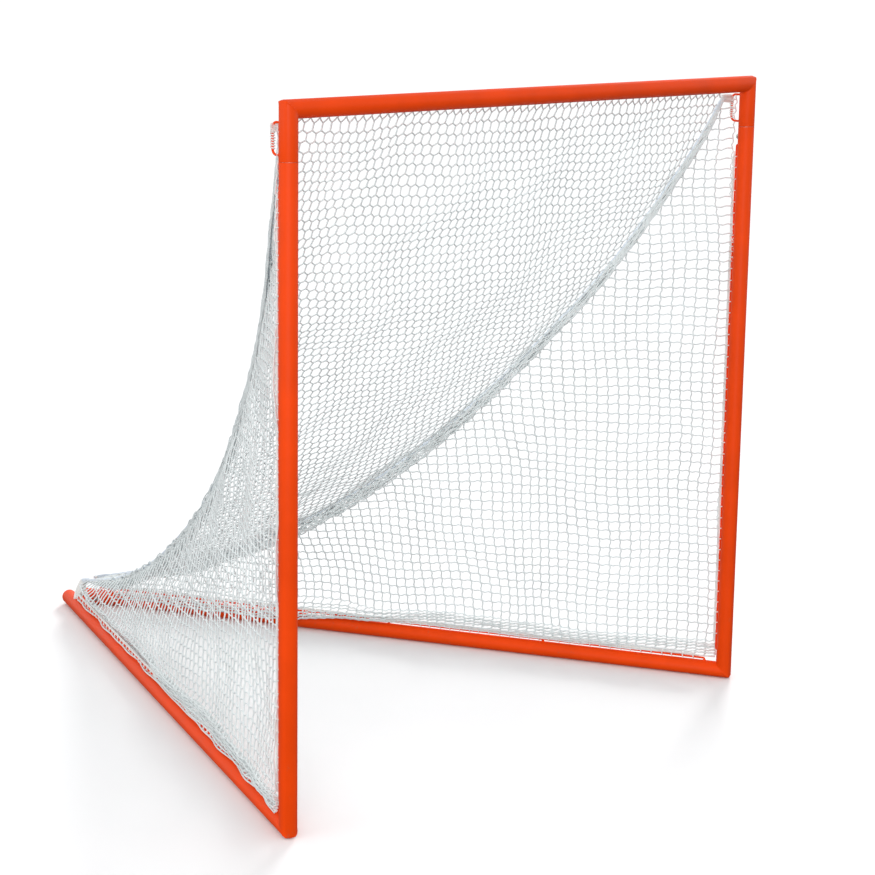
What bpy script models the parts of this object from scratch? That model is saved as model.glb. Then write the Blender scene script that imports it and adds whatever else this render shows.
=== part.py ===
"""Lacrosse goal: a welded and bolted steel tube frame with rods, ropes and a net laced to it.

Metres, +Z up. The mouth faces -Y and the base runs back to a point at +Y. The origin is on the
ground, in the middle of the goal's footprint. Left is -X.
"""

import math

import bmesh
import bpy
from mathutils import Matrix, Vector

# Driving dimensions
MOUTH = 1.829  # clear width and clear height of the mouth, 6 ft
DEPTH = 2.134  # from the goal line back to the point of the base, 7 ft
TUBE_D = 0.0483  # round tube of the whole frame, 1.9 in outside
WALL = 0.0025
SIDES = 24  # facets round a frame tube
SEAM_BELOW_TOP = 0.126  # crossbar's centre line down to the joint in each post
GAP = 0.0003  # left between pieces that touch
SLEEVE_WALL = 0.003
SLEEVE_UP = 0.075  # how far a post sleeve reaches above and below the joint
SLEEVE_DOWN = 0.110
STRAP_THICK = 0.005  # flat bar that joins the base rails
STRAP_HIGH = 0.034
STRAP_REACH = 0.190  # its ends, from the point where the rails' centre lines meet
STRAP_BOLT = 0.135
PLUG_R = 0.0208  # plastic plug in a rail's open end
PLUG_DEEP = 0.018
PLUG_THICK = 0.005
PLUG_SUNK = 0.001
PLUG_WAIST = 0.001  # how much narrower a plug is behind its lip

# Round rods that the net is laced to
ROD_D = 0.00635
ROD_CLEAR = 0.0045  # daylight between a tube and its rod, enough for the lacing
ROD_BEND = 0.005
LOOP_CLEAR = 0.029  # daylight behind a corner loop
LOOP_BEND = 0.014
LOOP_TOP = 0.033  # ends of a corner loop, below the crossbar's centre line
LOOP_BOTTOM = 0.112
POST_ROD_TOP = 0.183  # top of the post's rod, below the crossbar's centre line
POST_ROD_FOOT = 0.085  # its foot, above the ground
CROSSBAR_ROD_END = 0.042  # from the post's centre line
RAIL_ROD_FRONT = 0.062  # ends of a base rod, from the corner and from the rail's square end
RAIL_ROD_REAR = 0.085
PEG_D = 0.006

# M8 fasteners
BOLT_D = 0.008
HEX_FLATS = 0.013
HEAD_HIGH = 0.0053
NUT_HIGH = 0.0065
WASHER_D = 0.016
WASHER_THICK = 0.0016
CHAMFER = 0.0008  # on a bolt's head and point
BOLT_HOLE = 0.009
BOLT_LONG = 0.0185
BOLT_BELOW_SEAM = 0.032

# Net, ropes and laces
LACE_D = 0.008  # lacing and the net's border cord together
ROPE_D = 0.012  # ridge rope
LACE_SHORT = 0.020  # how far short of each end of its rod a lace stops
ROPE_POINTS = 60
NET_THICK = 0.006
NET_EDGE = 0.0465  # net's edge off the centre line of the tube that it is laced to
NET_HEAD = (0.035, 0.012)  # back net's top corner, in from the post and below the crossbar
NET_POINT = 0.955  # how far along the ridges the back net runs
NET_OFF_ROPE = 0.014  # net's edge from the centre line of a ridge rope
NET_REACH = 1.955  # how far back the side nets run
NET_TURN = 0.150  # over which a side net turns from the post onto the rail's line
BACK_SAG = 0.055  # how far the back net hangs, as a share of its half width
BACK_SAG_FULL = 0.67  # share of the way down at which it hangs that far
SIDE_BELLY = 0.030  # how far a side net bellies out
SIDE_BELLY_FULL = 0.4  # share of the way back at which it bellies that far
# Centre line of the right ridge rope, from the corner loop to the point of the base
RIDGE = (
    (0.902, 0.060, 1.812),
    (0.832, 0.165, 1.588),
    (0.678, 0.395, 1.200),
    (0.467, 0.800, 0.732),
    (0.305, 1.220, 0.408),
    (0.150, 1.630, 0.210),
    (0.026, 2.000, 0.098),
)

# Finishes: colour, metallic, roughness
PAINT = ((0.88, 0.072, 0.012), 0.0, 0.38)
ZINC = ((0.62, 0.62, 0.60), 1.0, 0.42)
TWINE = ((0.82, 0.83, 0.83), 0.0, 0.85)
ROPE = ((0.74, 0.78, 0.80), 0.0, 0.90)
PLASTIC = ((0.02, 0.02, 0.02), 0.0, 0.55)

# Worked out from them
TUBE_R = TUBE_D / 2
FLAT_R = TUBE_R * math.cos(math.pi / SIDES)  # centre to a facet
BORE_R = TUBE_R - WALL
POST_X = (MOUTH + TUBE_D) / 2
TOP_Z = MOUTH + TUBE_R
RAIL_Z = FLAT_R
ROD_R = ROD_D / 2
ROD_OFF = TUBE_R + ROD_CLEAR + ROD_R  # tube's centre line to the rod's
LACE_OFF = ROD_OFF + ROD_R + GAP + LACE_D / 2
SLEEVE_R = BORE_R * math.cos(math.pi / SIDES) - GAP
SEAM_Z = TOP_Z - SEAM_BELOW_TOP
UP = Vector((0, 0, 1))
BACK = Vector((0, 1, 0))
SIDE_NAMES = {1: "right", -1: "left"}


def corner(side):
    """Where the centre lines of a post and its base rail meet."""
    return Vector((side * POST_X, 0, RAIL_Z))


def vertex():
    return Vector((0, DEPTH, RAIL_Z))


def along_rail(side):
    return (vertex() - corner(side)).normalized()


def rail_length():
    """From the corner to the rail's square end, where the two rails' inner edges all but meet."""
    half_angle = math.atan2(POST_X, DEPTH)
    return (vertex() - corner(1)).length - TUBE_R / math.tan(half_angle) - GAP


def clear_scene():
    for obj in list(bpy.data.objects):
        bpy.data.objects.remove(obj, do_unlink=True)


def finish(obj, look):
    """Gives an object a material of its own and hangs it on the goal line."""
    colour, metallic, roughness = look
    material = bpy.data.materials.new(obj.name + "_finish")
    material.use_nodes = True
    shader = material.node_tree.nodes["Principled BSDF"]
    shader.inputs["Base Color"].default_value = (*colour, 1.0)
    shader.inputs["Metallic"].default_value = metallic
    shader.inputs["Roughness"].default_value = roughness
    material.diffuse_color = (*colour, 1.0)
    obj.data.materials.append(material)
    obj.parent = bpy.data.objects["goal_line"]
    return obj


def mesh_object(name, bm, look, smooth=30):
    """Turns a bmesh into a named object with its normals outwards."""
    bmesh.ops.recalc_face_normals(bm, faces=bm.faces)
    mesh = bpy.data.meshes.new(name)
    bm.to_mesh(mesh)
    bm.free()
    mesh.shade_smooth()
    mesh.set_sharp_from_angle(angle=math.radians(smooth))
    obj = bpy.data.objects.new(name, mesh)
    bpy.context.collection.objects.link(obj)
    return finish(obj, look)


def skin(bm, loops, closed):
    """Joins rings of vertices into a surface: capped at both ends, or closed on itself."""
    following = loops[1:] + ([loops[0]] if closed else [])
    for ring, after in zip(loops, following):
        for i, vert in enumerate(ring):
            j = (i + 1) % len(ring)
            bm.faces.new((vert, ring[j], after[j], after[i]))
    if not closed:
        bm.faces.new(loops[0])
        bm.faces.new(loops[-1])


def round_ring(radius):
    return lambda angle: radius


def hex_ring(flats):
    sixth = math.radians(60)
    return lambda angle: flats / 2 / math.cos((angle + sixth / 2) % sixth - sixth / 2)


def stacked(name, rings, look, closed=False, sides=SIDES, at=(0, 0, 0), facing=UP):
    """A shape of rings (height, radius at an angle) along its own Z, turned to face a direction."""
    bm = bmesh.new()
    turns = [math.tau * i / sides for i in range(sides)]
    loops = [
        [bm.verts.new((r(a) * math.cos(a), r(a) * math.sin(a), h)) for a in turns]
        for h, r in rings
    ]
    skin(bm, loops, closed)
    obj = mesh_object(name, bm, look)
    obj.location = at
    obj.rotation_euler = Vector(facing).to_track_quat("Z", "Y").to_euler()
    return obj


def tube(name, start, end, start_cut, end_cut, flat_side, radius=TUBE_R, bore=BORE_R):
    """A straight round tube in the frame, each end cut along a plane (point, normal)."""
    axis = (end - start).normalized()
    across = axis.cross(flat_side).normalized()
    outward = across.cross(axis)
    bm = bmesh.new()
    loops = []
    for (point, normal), size in (
        (start_cut, radius),
        (end_cut, radius),
        (end_cut, bore),
        (start_cut, bore),
    ):
        ring = []
        for i in range(SIDES):
            angle = math.tau * (i + 0.5) / SIDES
            edge = start + size * (math.cos(angle) * outward + math.sin(angle) * across)
            slide = (point - edge).dot(normal) / axis.dot(normal)
            ring.append(bm.verts.new(edge + slide * axis))
        loops.append(ring)
    skin(bm, loops, closed=True)
    return mesh_object(name, bm, PAINT)


def mitre(point, one, other):
    """The cutting planes of two tubes that leave a point along these directions."""
    normal = (one - other).normalized()
    return (point + normal * GAP / 2, normal), (point - normal * GAP / 2, normal)


def square(point, axis):
    return (point, axis)


def arc_corner(before, point, after, radius, steps=4):
    """Points of a rounded corner on a path."""
    into = (before - point).normalized()
    out = (after - point).normalized()
    half = into.angle(out) / 2
    centre = point + (into + out).normalized() * radius / math.sin(half)
    first = point + into * radius / math.tan(half) - centre
    last = point + out * radius / math.tan(half) - centre
    turn = first.angle(last)
    axis = first.cross(last).normalized()
    return [centre + Matrix.Rotation(turn * i / steps, 3, axis) @ first for i in range(steps + 1)]


def bar(name, points, diameter, look, resolution=2):
    """A solid round bar or cord along a path, with flat ends."""
    curve = bpy.data.curves.new(name, "CURVE")
    curve.dimensions = "3D"
    curve.bevel_depth = diameter / 2
    curve.bevel_resolution = resolution
    curve.use_fill_caps = True
    spline = curve.splines.new("POLY")
    spline.points.add(len(points) - 1)
    for place, point in zip(spline.points, points):
        place.co = (*point, 1)
    spline.use_smooth = True
    obj = bpy.data.objects.new(name, curve)
    bpy.context.collection.objects.link(obj)
    return finish(obj, look)


def standing_off_rod(name, start, end, away, clear, bend=ROD_BEND):
    """A rod beside a tube whose two ends turn in to meet it. start and end lie on its centre line."""
    run = away * (TUBE_R + clear + ROD_R)
    foot = away * (TUBE_R + GAP)
    path = [start + foot]
    path += arc_corner(start + foot, start + run, end + run, bend)
    path += arc_corner(start + run, end + run, end + foot, bend)
    path.append(end + foot)
    return bar(name, path, ROD_D, PAINT)


def peg(name, point, away):
    """A short stand-off between a tube and the middle of its rod."""
    rings = [(TUBE_R + GAP, round_ring(PEG_D / 2)), (ROD_OFF - ROD_R - GAP, round_ring(PEG_D / 2))]
    return stacked(name, rings, PAINT, sides=12, at=point, facing=away)


def evenly(start, end, count):
    """count points between start and end, none at the ends."""
    return [start.lerp(end, (i + 1) / (count + 1)) for i in range(count)]


def drill(targets, point, away):
    """Cuts one bolt hole through the near wall of each tube."""
    bm = bmesh.new()
    bmesh.ops.create_cone(
        bm,
        cap_ends=True,
        segments=SIDES,
        radius1=BOLT_HOLE / 2,
        radius2=BOLT_HOLE / 2,
        depth=TUBE_R,
    )
    cutter = mesh_object(targets[0].name + "_drill", bm, ZINC)
    cutter.location = point + away * TUBE_R
    cutter.rotation_euler = away.to_track_quat("Z", "Y").to_euler()
    cutter.hide_render = True
    cutter.display_type = "WIRE"
    for target in targets:
        cut = target.modifiers.new("bolt_hole", "BOOLEAN")
        cut.operation = "DIFFERENCE"
        cut.solver = "EXACT"
        cut.object = cutter


def bolted(where, side, point, away, nut_bore, clamped=TUBE_R):
    """A bolt, the washer under its head, and the weld nut on the bore of the sleeve or tube."""
    name = SIDE_NAMES[side]
    washer_at = clamped + GAP
    head_at = washer_at + WASHER_THICK + GAP
    shank, head, hole = round_ring(BOLT_D / 2), hex_ring(HEX_FLATS), round_ring(BOLT_HOLE / 2)
    stacked(
        f"{where}_bolt_{name}",
        [
            (head_at - BOLT_LONG, round_ring(BOLT_D / 2 - CHAMFER)),
            (head_at - BOLT_LONG + CHAMFER, shank),
            (head_at, shank),
            (head_at, head),
            (head_at + HEAD_HIGH - CHAMFER, head),
            (head_at + HEAD_HIGH, round_ring(HEX_FLATS / 2 - CHAMFER)),
        ],
        ZINC,
        at=point,
        facing=away,
    )
    disc = round_ring(WASHER_D / 2)
    stacked(
        f"{where}_washer_{name}",
        [
            (washer_at, hole),
            (washer_at, disc),
            (washer_at + WASHER_THICK, disc),
            (washer_at + WASHER_THICK, hole),
        ],
        ZINC,
        closed=True,
        at=point,
        facing=away,
    )
    corner_reach = HEX_FLATS / 2 / math.cos(math.radians(30))
    nut_top = math.sqrt(nut_bore**2 - corner_reach**2) - GAP
    stacked(
        f"{where}_nut_{name}",
        [
            (nut_top - NUT_HIGH, hole),
            (nut_top - NUT_HIGH, head),
            (nut_top, head),
            (nut_top, hole),
        ],
        ZINC,
        closed=True,
        at=point,
        facing=away,
    )


def top_frame():
    """The crossbar and its two short legs, mitred and welded."""
    tops = {side: Vector((side * POST_X, 0, TOP_Z)) for side in (1, -1)}
    cuts = {side: mitre(tops[side], Vector((-side, 0, 0)), -UP) for side in (1, -1)}
    tube("crossbar", tops[-1], tops[1], cuts[-1][0], cuts[1][0], UP)
    for side, name in SIDE_NAMES.items():
        seam = Vector((side * POST_X, 0, SEAM_Z + GAP / 2))
        tube(f"corner_leg_{name}", tops[side], seam, cuts[side][1], square(seam, UP), BACK)


def side_frames():
    """Each post with its base rail, mitred and welded, and the sleeve inside the post's joint."""
    for side, name in SIDE_NAMES.items():
        foot, heading = corner(side), along_rail(side)
        seam = Vector((side * POST_X, 0, SEAM_Z - GAP / 2))
        post_cut, rail_cut = mitre(foot, UP, heading)
        post = tube(f"post_{name}", seam, foot, square(seam, UP), post_cut, heading)
        rail_end = foot + heading * rail_length()
        tube(f"base_rail_{name}", foot, rail_end, rail_cut, square(rail_end, heading), UP)
        low = Vector((side * POST_X, 0, SEAM_Z - SLEEVE_DOWN))
        high = Vector((side * POST_X, 0, SEAM_Z + SLEEVE_UP))
        bore = SLEEVE_R - SLEEVE_WALL
        sleeve = tube(
            f"post_sleeve_{name}",
            low,
            high,
            square(low, UP),
            square(high, UP),
            BACK,
            radius=SLEEVE_R,
            bore=bore,
        )
        bolt_at = Vector((side * POST_X, 0, SEAM_Z - BOLT_BELOW_SEAM))
        drill([post, sleeve], bolt_at, BACK)
        bolted("corner", side, bolt_at, BACK, bore)


def rear_joint():
    """A flat bar bent to a V inside the two base rails, bolted to each, and a plug in each rail's end."""
    point = vertex()
    slant = math.sin(math.atan2(POST_X, DEPTH))
    outline = []
    for side in (1, -1):
        heading = along_rail(side)
        inward = heading.cross(UP) * -side
        near, far = inward * (TUBE_R + GAP), inward * (TUBE_R + GAP + STRAP_THICK)
        tip = point - heading * STRAP_REACH
        outline.append((tip + near, tip + far))
    (right_near, right_far), (left_near, left_far) = outline
    outer_bend = point - BACK * (TUBE_R + GAP) / slant
    inner_bend = point - BACK * (TUBE_R + GAP + STRAP_THICK) / slant
    loop = [right_near, outer_bend, left_near, left_far, inner_bend, right_far]
    bm = bmesh.new()
    rows = [
        [bm.verts.new(place + UP * height) for place in loop]
        for height in (-STRAP_HIGH / 2, STRAP_HIGH / 2)
    ]
    skin(bm, rows, closed=False)
    strap = mesh_object("rear_strap", bm, PAINT)
    for side, name in SIDE_NAMES.items():
        heading = along_rail(side)
        inward = heading.cross(UP) * -side
        bolt_at = point - heading * STRAP_BOLT
        drill([bpy.data.objects[f"base_rail_{name}"], strap], bolt_at, inward)
        bolted("rear", side, bolt_at, inward, BORE_R, TUBE_R + GAP + STRAP_THICK)
        lip = round_ring(PLUG_R)
        waist = round_ring(PLUG_R - PLUG_WAIST)
        stacked(
            f"rail_plug_{name}",
            [(-PLUG_DEEP, waist), (-PLUG_THICK, waist), (-PLUG_THICK, lip), (-PLUG_SUNK, lip)],
            PLASTIC,
            at=corner(side) + heading * rail_length(),
            facing=heading,
        )


def lacing_rods():
    """The rods welded behind the crossbar and posts and along the top of the base rails."""
    reach = POST_X - CROSSBAR_ROD_END
    left, right = Vector((-reach, 0, TOP_Z)), Vector((reach, 0, TOP_Z))
    standing_off_rod("crossbar_rod", left, right, BACK, ROD_CLEAR)
    for i, point in enumerate(evenly(left, right, 3)):
        peg(f"crossbar_peg_{i + 1}", point, BACK)
    for side, name in SIDE_NAMES.items():
        top = Vector((side * POST_X, 0, TOP_Z))
        standing_off_rod(
            f"corner_loop_{name}",
            top - UP * LOOP_TOP,
            top - UP * LOOP_BOTTOM,
            BACK,
            LOOP_CLEAR,
            bend=LOOP_BEND,
        )
        high, low = top - UP * POST_ROD_TOP, Vector((side * POST_X, 0, POST_ROD_FOOT))
        standing_off_rod(f"post_rod_{name}", high, low, BACK, ROD_CLEAR)
        for i, point in enumerate(evenly(high, low, 2)):
            peg(f"post_peg_{name}_{i + 1}", point, BACK)
        front = corner(side) + along_rail(side) * RAIL_ROD_FRONT
        rear = corner(side) + along_rail(side) * (rail_length() - RAIL_ROD_REAR)
        standing_off_rod(f"base_rod_{name}", front, rear, UP, ROD_CLEAR)
        for i, point in enumerate(evenly(front, rear, 3)):
            peg(f"base_peg_{name}_{i + 1}", point, UP)


def laces():
    """The lacing that ties the net's border to each rod, as one round strand behind the rod."""
    reach = POST_X - CROSSBAR_ROD_END - LACE_SHORT
    behind = BACK * LACE_OFF
    ends = [Vector((x, 0, TOP_Z)) + behind for x in (-reach, reach)]
    bar("crossbar_lace", ends, LACE_D, TWINE)
    for side, name in SIDE_NAMES.items():
        high = Vector((side * POST_X, 0, TOP_Z - POST_ROD_TOP - LACE_SHORT)) + behind
        low = Vector((side * POST_X, 0, POST_ROD_FOOT + LACE_SHORT)) + behind
        bar(f"post_lace_{name}", [high, low], LACE_D, TWINE)
        front = corner(side) + along_rail(side) * (RAIL_ROD_FRONT + LACE_SHORT)
        rear = corner(side) + along_rail(side) * (rail_length() - RAIL_ROD_REAR - LACE_SHORT)
        bar(f"base_lace_{name}", [p + UP * LACE_OFF for p in (front, rear)], LACE_D, TWINE)


def through(points, share):
    """A point on the smooth curve through these, share going from 0 at the first to 1 at the last."""
    spans = len(points) - 1
    i = min(int(share * spans), spans - 1)
    t = share * spans - i
    a, b, c, d = (Vector(points[max(0, min(spans, i + k))]) for k in (-1, 0, 1, 2))
    return 0.5 * (2 * b + (c - a) * t + (2 * a - 5 * b + 4 * c - d) * t**2 + (3 * b - a - 3 * c + d) * t**3)


def ridge(side, share):
    point = through(RIDGE, share)
    return Vector((side * point.x, point.y, point.z))


def ridge_ropes():
    for side, name in SIDE_NAMES.items():
        path = [ridge(side, i / ROPE_POINTS) for i in range(ROPE_POINTS + 1)]
        bar(f"ridge_rope_{name}", path, ROPE_D, ROPE)


def net_panel(name, surface, columns, rows):
    """A thin closed sheet over surface(u, v), with u and v from 0 to 1, of the net's thickness."""
    step = 1e-3
    bm = bmesh.new()
    layers = []
    for sign in (1, -1):
        grid = []
        for j in range(rows + 1):
            line = []
            for i in range(columns + 1):
                u, v = i / columns, j / rows
                u0, v0 = min(u, 1 - step), min(v, 1 - step)
                base = surface(u0, v0)
                normal = (surface(u0 + step, v0) - base).cross(surface(u0, v0 + step) - base)
                line.append(bm.verts.new(surface(u, v) + normal.normalized() * sign * NET_THICK / 2))
            grid.append(line)
        layers.append(grid)
    front, back = layers
    for grid in layers:
        for below, above in zip(grid, grid[1:]):
            for i in range(columns):
                bm.faces.new((below[i], below[i + 1], above[i + 1], above[i]))
    for grid_line, other_line in (
        (front[0], back[0]),
        (front[-1], back[-1]),
        ([line[0] for line in front], [line[0] for line in back]),
        ([line[-1] for line in front], [line[-1] for line in back]),
    ):
        for i in range(len(grid_line) - 1):
            bm.faces.new((grid_line[i], grid_line[i + 1], other_line[i + 1], other_line[i]))
    return mesh_object(name, bm, TWINE, smooth=60)


def back_surface(u, v):
    """Net behind the mouth: u across from left to right, v down from the crossbar."""
    head = Vector((POST_X - NET_HEAD[0], NET_EDGE, TOP_Z - NET_HEAD[1]))
    edge = through((head,) + RIDGE[1:], v * NET_POINT)
    half = edge.x - NET_OFF_ROPE
    place = 2 * u - 1
    sag = BACK_SAG * half * (1 - place**2) * math.sin(math.pi / 2 * min(1, v / BACK_SAG_FULL))
    return Vector((place * half, edge.y, edge.z - sag))


def ridge_share(depth):
    """Where along the ridge it lies this far behind the goal line."""
    low, high = 0.0, 1.0
    for _ in range(30):
        middle = (low + high) / 2
        if ridge(1, middle).y < depth:
            low = middle
        else:
            high = middle
    return low


def side_surface(side):
    """Net at one side: u back from the post, v up from the base rail to the ridge."""

    def surface(u, v):
        depth = NET_EDGE + u * (NET_REACH - NET_EDGE)
        on_rail = POST_X * (1 - depth / DEPTH)
        shift = POST_X * NET_EDGE / DEPTH * math.exp(-(depth - NET_EDGE) / NET_TURN)
        low = Vector((side * (on_rail + shift), depth, RAIL_Z + NET_EDGE))
        share = ridge_share(depth)
        high = ridge(side, share)
        along = (ridge(side, share + 0.001) - high).normalized()
        down = low - high
        high += (down - down.dot(along) * along).normalized() * NET_OFF_ROPE
        outward = along_rail(side).cross(UP) * side
        swell = math.sin(math.pi / 2 * min(1, u / SIDE_BELLY_FULL))
        belly = SIDE_BELLY * math.sin(math.pi * v) * swell
        return low.lerp(high, v) + outward * belly

    return surface


def nets():
    net_panel("net_back", back_surface, 12, 20)
    for side, name in SIDE_NAMES.items():
        net_panel(f"net_{name}", side_surface(side), 20, 10)


def centre_on_footprint():
    """Puts the origin at the middle of the frame's depth."""
    bpy.context.view_layer.update()
    depths = []
    for name in ("corner_leg", "post", "base_rail"):
        for side_name in SIDE_NAMES.values():
            mesh = bpy.data.objects[f"{name}_{side_name}"].data
            depths += [vert.co.y for vert in mesh.vertices]
    bpy.data.objects["goal_line"].location.y = -(min(depths) + max(depths)) / 2


def main():
    clear_scene()
    goal_line = bpy.data.objects.new("goal_line", None)
    bpy.context.collection.objects.link(goal_line)
    top_frame()
    side_frames()
    rear_joint()
    lacing_rods()
    laces()
    ridge_ropes()
    nets()
    centre_on_footprint()


main()
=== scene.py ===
"""Lacrosse goal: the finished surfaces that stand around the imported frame.

Smooth mitred tubes with their welds, bent lacing rods, zinc fasteners, a knotless net made of its
own twine, twisted ridge ropes, gathered net edges and the lacing that ties it all together.
Metres, +Z up. Routes are given from the goal line, and at() puts them in the frame.
"""

import math

import bpy
from bpy.props import FloatProperty, FloatVectorProperty, IntProperty, PointerProperty
from bpy.types import Operator, Panel, PropertyGroup
from mathutils import Matrix, Vector, noise


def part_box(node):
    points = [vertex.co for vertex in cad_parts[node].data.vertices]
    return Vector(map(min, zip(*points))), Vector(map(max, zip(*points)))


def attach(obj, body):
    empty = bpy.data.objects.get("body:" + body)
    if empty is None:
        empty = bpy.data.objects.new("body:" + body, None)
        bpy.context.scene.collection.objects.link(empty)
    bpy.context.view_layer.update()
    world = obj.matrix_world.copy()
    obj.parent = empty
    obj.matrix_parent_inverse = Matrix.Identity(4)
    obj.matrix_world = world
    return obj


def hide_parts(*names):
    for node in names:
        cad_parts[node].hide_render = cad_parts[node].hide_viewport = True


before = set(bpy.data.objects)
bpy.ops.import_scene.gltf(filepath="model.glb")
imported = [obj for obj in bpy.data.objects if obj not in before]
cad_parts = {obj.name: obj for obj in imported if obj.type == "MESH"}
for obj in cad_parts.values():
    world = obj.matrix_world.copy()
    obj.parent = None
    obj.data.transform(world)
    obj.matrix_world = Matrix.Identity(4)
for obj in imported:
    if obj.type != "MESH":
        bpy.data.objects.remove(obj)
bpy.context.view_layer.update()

bl_info = {
    "name": "Lacrosse goal",
    "version": (1, 0, 0),
    "blender": (4, 5, 0),
    "location": "3D view > Sidebar > Lacrosse goal",
    "description": "Builds the finished surfaces of a lacrosse goal around its frame",
    "category": "Add Mesh",
}

UP = Vector((0, 0, 1))
BACK = Vector((0, 1, 0))
SIDES = {1: "right", -1: "left"}

noise.seed_set(7)  # the nets and cords are uneven in the same way each time


def middle(node):
    low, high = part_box(node)
    return (low + high) / 2


def height(node):
    low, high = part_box(node)
    return high.z - low.z


# The frame's own places, read from its nodes
TUBE_R = height("crossbar") / 2
GOAL_LINE = middle("crossbar").y
POST_X = middle("post_right").x
TOP_Z = middle("crossbar").z
RAIL_Z = TUBE_R
SEAM_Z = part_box("post_right")[1].z
DEPTH = 2.134  # goal line to the point where the rails' centre lines meet, 7 ft
HALF_ANGLE = math.atan2(POST_X, DEPTH)
WALL = 0.0025
ROD_R = 0.003175
ROD_BEND = 0.005
LOOP_BEND = 0.014
RAIL_ROD_FRONT = 0.062  # ends of a base rod, from the corner and from the rail's square end
RAIL_ROD_REAR = 0.085
LACE_SHORT = 0.020  # how far short of each end of its rod a lace stops
SUNK = 0.001  # how deep a welded end goes into its tube
PEG_R = 0.003
ROD_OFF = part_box("crossbar_rod")[1].y - GOAL_LINE - ROD_R
LACE_OFF = middle("crossbar_lace").y - GOAL_LINE

# The route of the right ridge rope, from the corner loop to the point of the base
RIDGE = (
    (0.902, 0.060, 1.812),
    (0.832, 0.165, 1.588),
    (0.678, 0.395, 1.200),
    (0.467, 0.800, 0.732),
    (0.305, 1.220, 0.408),
    (0.150, 1.630, 0.210),
    (0.026, 2.000, 0.098),
)
NET_EDGE = 0.0465
NET_HEAD = (0.035, 0.012)  # back net's top corner, in from the post and below the crossbar
NET_POINT = 0.955  # how far along the ridges the back net runs
NET_OFF_ROPE = 0.014
NET_REACH = 1.955
NET_TURN = 0.150
BACK_SAG = 0.055
BACK_SAG_FULL = 0.67
SIDE_BELLY = 0.030
SIDE_BELLY_FULL = 0.4


def linear(code):
    """An sRGB hex colour as linear red, green and blue."""
    parts = [int(code[i : i + 2], 16) / 255 for i in (0, 2, 4)]
    return tuple(p / 12.92 if p <= 0.04045 else ((p + 0.055) / 1.055) ** 2.4 for p in parts)


class GoalSizes(PropertyGroup):
    """Sizes that change the look and not the frame."""

    twine: FloatProperty(
        name="Net twine",
        description="Diameter of the net's braided twine",
        default=0.0045,
        min=0.002,
        max=0.008,
        subtype="DISTANCE",
        unit="LENGTH",
    )
    cell_wide: FloatProperty(
        name="Mesh width",
        description="Width of one mesh of the net",
        default=0.0305,
        min=0.02,
        max=0.08,
        subtype="DISTANCE",
        unit="LENGTH",
    )
    cell_tall: FloatProperty(
        name="Mesh height",
        description="Height of one mesh of the net",
        default=0.0288,
        min=0.02,
        max=0.08,
        subtype="DISTANCE",
        unit="LENGTH",
    )
    lace: FloatProperty(
        name="Lacing cord",
        description="Diameter of the cord wound round the rods",
        default=0.0036,
        min=0.002,
        max=0.006,
        subtype="DISTANCE",
        unit="LENGTH",
    )
    lace_pitch: FloatProperty(
        name="Lacing pitch",
        description="Distance from one wrap of the lacing to the next",
        default=0.034,
        min=0.02,
        max=0.1,
        subtype="DISTANCE",
        unit="LENGTH",
    )
    tube_facets: IntProperty(
        name="Tube facets",
        description="Facets round each frame tube",
        default=96,
        min=24,
        max=192,
    )


class GoalColours(PropertyGroup):
    """Colours of the finishes."""

    paint: FloatVectorProperty(
        name="Powder coat",
        description="Orange of the frame",
        subtype="COLOR",
        default=linear("F04600"),
        min=0,
        max=1,
    )
    twine: FloatVectorProperty(
        name="Twine",
        description="Greyish white of the net",
        subtype="COLOR",
        default=linear("E9EFEF"),
        min=0,
        max=1,
    )
    rope: FloatVectorProperty(
        name="Rope",
        description="Bluish white of the ridge ropes",
        subtype="COLOR",
        default=linear("E2EAF2"),
        min=0,
        max=1,
    )
    lace: FloatVectorProperty(
        name="Lace",
        description="White of the lacing cord",
        subtype="COLOR",
        default=linear("F1F1EE"),
        min=0,
        max=1,
    )
    floor: FloatVectorProperty(
        name="Floor",
        description="Pale studio floor",
        subtype="COLOR",
        default=linear("F8F8F8"),
        min=0,
        max=1,
    )


def sizes():
    return bpy.context.scene.goal_sizes


def colours():
    return bpy.context.scene.goal_colours


# ---------------------------------------------------------------------------------------------
# Places and routes
# ---------------------------------------------------------------------------------------------


def at(point):
    """A place given from the goal line, in the frame."""
    return Vector(point) + BACK * GOAL_LINE


def corner(side):
    return Vector((side * POST_X, 0, RAIL_Z))


def along_rail(side):
    return (Vector((0, DEPTH, RAIL_Z)) - corner(side)).normalized()


def outward(side):
    """Level, away from the goal, square to a base rail."""
    return along_rail(side).cross(UP) * side


RAIL_LONG = math.hypot(POST_X, DEPTH) - TUBE_R / math.tan(HALF_ANGLE)


def through(points, share):
    """A point on the smooth curve through these, share going from 0 to 1."""
    spans = len(points) - 1
    i = min(int(share * spans), spans - 1)
    t = share * spans - i
    a, b, c, d = (Vector(points[max(0, min(spans, i + k))]) for k in (-1, 0, 1, 2))
    bend = (2 * a - 5 * b + 4 * c - d) * t**2 + (3 * b - a - 3 * c + d) * t**3
    return 0.5 * (2 * b + (c - a) * t + bend)


def ridge(side, share):
    point = through(RIDGE, share)
    return Vector((side * point.x, point.y, point.z))


def arc_corner(before, point, after, radius, steps=8):
    """Points of a rounded corner on a path."""
    into = (before - point).normalized()
    out = (after - point).normalized()
    half = into.angle(out) / 2
    centre = point + (into + out).normalized() * radius / math.sin(half)
    first = point + into * radius / math.tan(half) - centre
    last = point + out * radius / math.tan(half) - centre
    turn = first.angle(last)
    axis = first.cross(last).normalized()
    return [centre + Matrix.Rotation(turn * i / steps, 3, axis) @ first for i in range(steps + 1)]


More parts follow.
